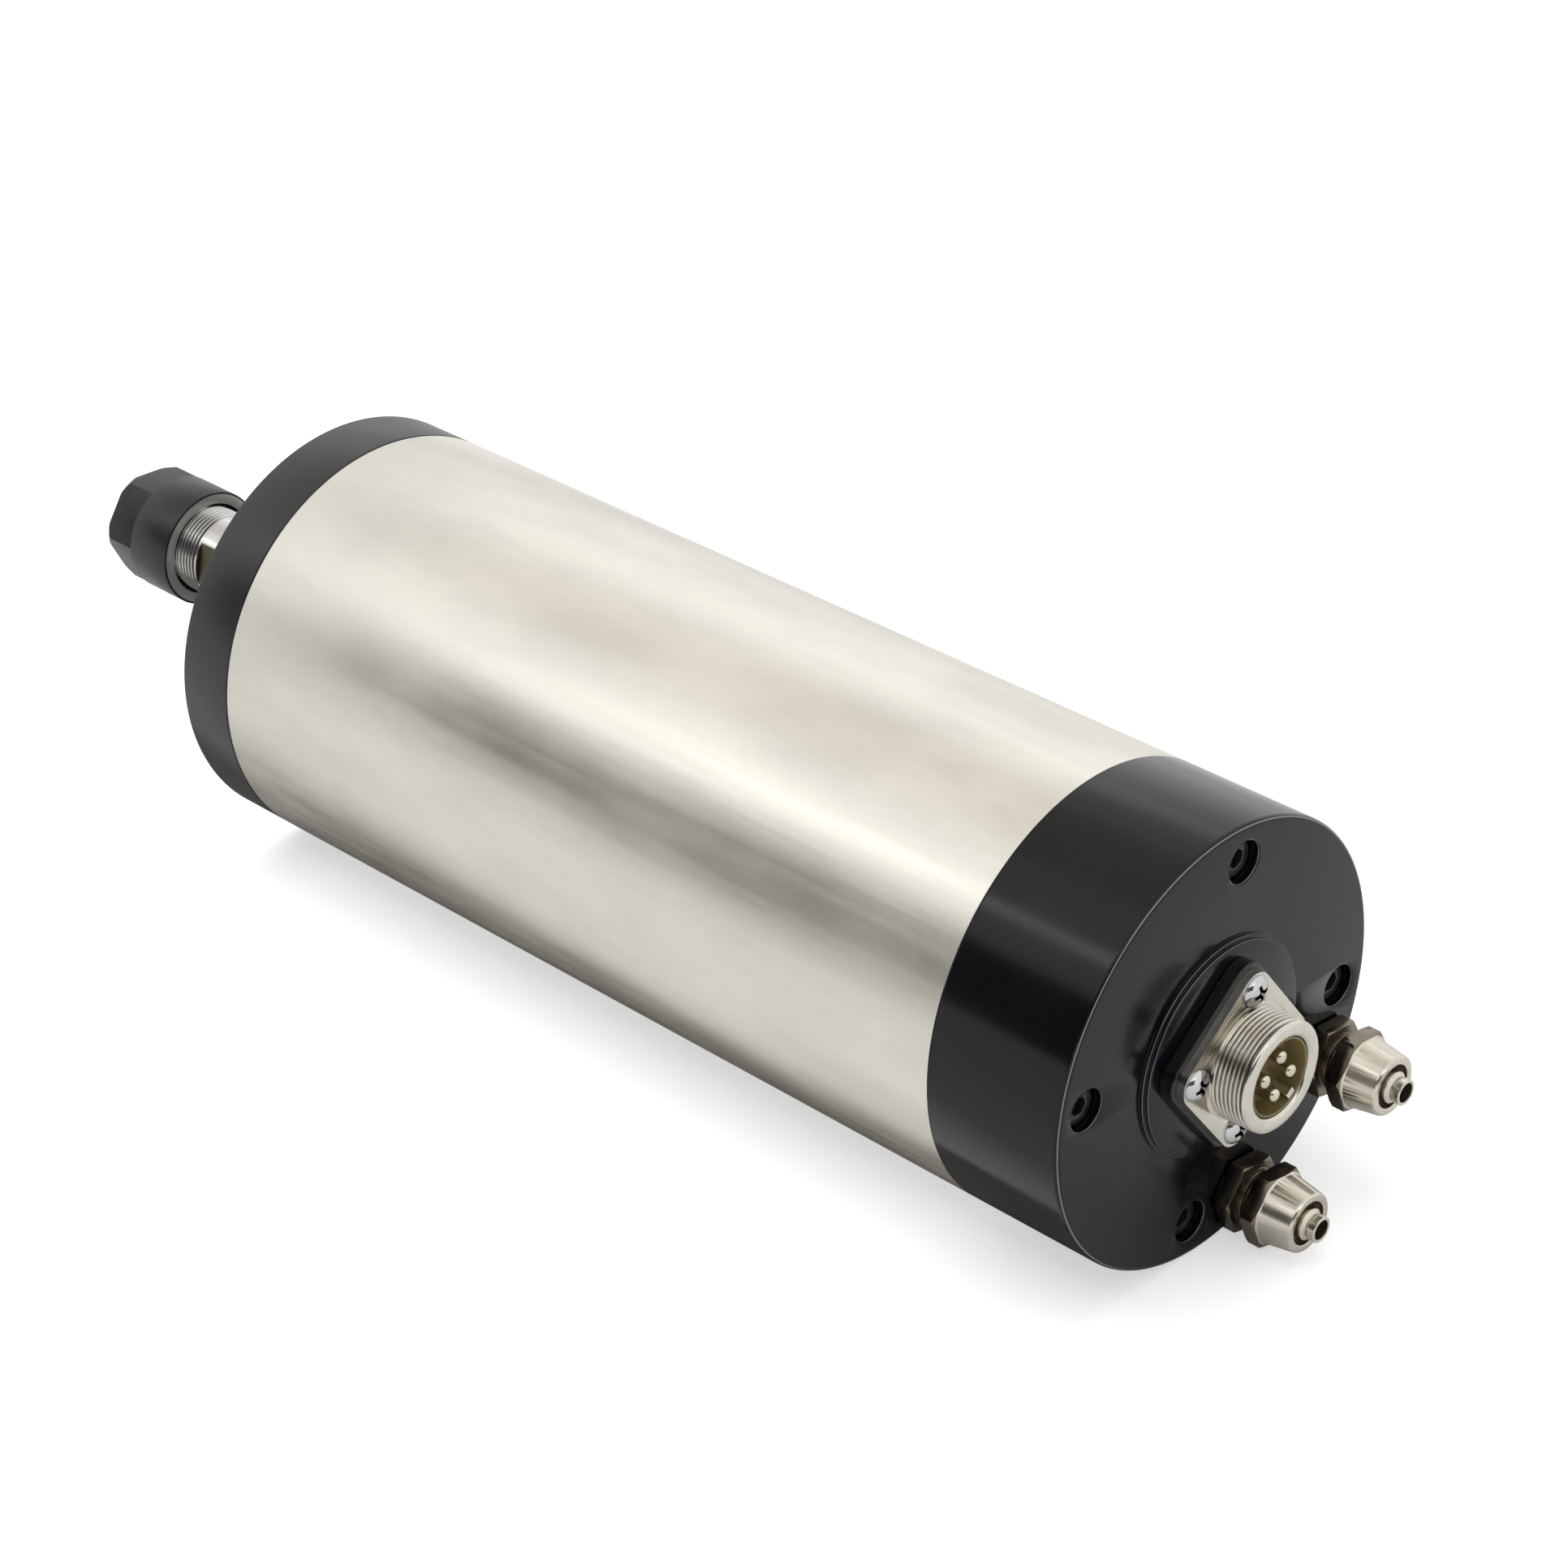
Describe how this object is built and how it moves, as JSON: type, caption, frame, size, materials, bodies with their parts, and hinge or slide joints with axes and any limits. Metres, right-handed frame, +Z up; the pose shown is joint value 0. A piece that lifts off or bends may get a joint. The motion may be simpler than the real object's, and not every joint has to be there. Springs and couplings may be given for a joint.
{
  "type": "water-cooled collet motor spindle",
  "caption": "Cylindrical water-cooled milling spindle motor: satin sleeve between dark end caps, collet nut on a slender nose, round power inlet and hose fittings at the rear.",
  "frame": {"origin": "on the spindle axis at the middle of the clamping sleeve", "axes": "+Y along the spindle axis towards the tool nose, +Z up as in the picture, +X completes a right-handed frame"},
  "size_m": [0.065, 0.2342, 0.065],
  "materials": {
    "sleeve_steel": "satin",
    "rear_cap_black": "gloss",
    "front_cap_charcoal": "satin",
    "shaft_steel": "ground",
    "nut_dark_steel": "satin",
    "collet_steel": "ground",
    "nickel_plate": "polished",
    "screw_black": "satin",
    "gasket_rubber": "gloss",
    "insulator_brown": "satin",
    "washer_fibre": "matt",
    "bearing_steel": "polished",
    "cage_resin": "satin",
    "jacket_aluminium": "turned",
    "core_steel": "laminated",
    "copper_winding": "varnished",
    "seal_rubber": "matt",
    "lead_insulation": "gloss"
  },
  "bodies": {
    "housing": {"outer_sleeve": "sleeve_steel", "rear_cap": "rear_cap_black", "rear_cap_screws": "screw_black", "front_cap": "front_cap_charcoal", "front_cap_screws": "screw_black", "rear_bearing_seat": "jacket_aluminium", "coolant_jacket": "jacket_aluminium", "rear_jacket_seal": "seal_rubber", "front_jacket_seal": "seal_rubber", "stator_core": "core_steel", "stator_windings": "copper_winding", "nose_bearing_outer_ring": "bearing_steel", "inboard_bearing_outer_ring": "bearing_steel", "rear_bearing_outer_ring": "bearing_steel", "outer_ring_spacer": "bearing_steel", "bearing_retainer": "bearing_steel", "preload_spring": "bearing_steel", "connector_gasket": "gasket_rubber", "connector_shell": "nickel_plate", "connector_insulator": "insulator_brown", "connector_pins": "nickel_plate", "connector_key": "nickel_plate", "connector_screws": "nickel_plate", "motor_leads": "lead_insulation", "inlet_washer": "washer_fibre", "inlet_fitting": "nickel_plate", "outlet_washer": "washer_fibre", "outlet_fitting": "nickel_plate"},
    "rotor": {"shaft": "shaft_steel", "rotor_core": "core_steel", "rear_end_ring": "jacket_aluminium", "front_end_ring": "jacket_aluminium", "nose_bearing_inner_ring": "bearing_steel", "inboard_bearing_inner_ring": "bearing_steel", "rear_bearing_inner_ring": "bearing_steel", "inner_ring_spacer": "bearing_steel", "bearing_lock_nut": "bearing_steel", "dust_ring": "nut_dark_steel", "rear_circlip": "bearing_steel"},
    "nose_cage": {"nose_bearing_balls": "bearing_steel", "nose_bearing_cage": "cage_resin"},
    "inboard_cage": {"inboard_bearing_balls": "bearing_steel", "inboard_bearing_cage": "cage_resin"},
    "rear_cage": {"rear_bearing_balls": "bearing_steel", "rear_bearing_cage": "cage_resin"},
    "collet_unit": {"collet": "collet_steel"},
    "clamping_nut": {"collet_nut": "nut_dark_steel"},
    "inlet_cap": {"inlet_cap_nut": "nickel_plate"},
    "outlet_cap": {"outlet_cap_nut": "nickel_plate"}
  },
  "joints": [
    {"name": "rotor_spin", "type": "hinge", "parent": "housing", "child": "rotor", "pos_m": [0, 0, 0], "axis": [0, 1, 0], "continuous": true},
    {"name": "nose_cage_spin", "type": "hinge", "parent": "housing", "child": "nose_cage", "pos_m": [0, 0.065, 0], "axis": [0, 1, 0], "continuous": true},
    {"name": "inboard_cage_spin", "type": "hinge", "parent": "housing", "child": "inboard_cage", "pos_m": [0, 0.054, 0], "axis": [0, 1, 0], "continuous": true},
    {"name": "rear_cage_spin", "type": "hinge", "parent": "housing", "child": "rear_cage", "pos_m": [0, -0.0572, 0], "axis": [0, 1, 0], "continuous": true},
    {"name": "collet_slide", "type": "slide", "parent": "rotor", "child": "collet_unit", "axis": [0, 1, 0], "range_m": [0, 0.0045]},
    {"name": "nut_spin", "type": "hinge", "parent": "collet_unit", "child": "clamping_nut", "pos_m": [0, 0.12, 0], "axis": [0, 1, 0], "range_deg": [0, 2160]},
    {"name": "inlet_cap_slide", "type": "slide", "parent": "housing", "child": "inlet_cap", "axis": [0, -1, 0], "range_m": [0, 0.012]},
    {"name": "outlet_cap_slide", "type": "slide", "parent": "housing", "child": "outlet_cap", "axis": [0, -1, 0], "range_m": [0, 0.012]}
  ],
  "couplings": [
    {"joint": "nose_cage_spin", "follows": "rotor_spin", "ratio": 0.39787},
    {"joint": "inboard_cage_spin", "follows": "rotor_spin", "ratio": 0.39787},
    {"joint": "rear_cage_spin", "follows": "rotor_spin", "ratio": 0.385},
    {"joint": "collet_slide", "follows": "nut_spin", "m_per_rad": 0.00011936}
  ]
}
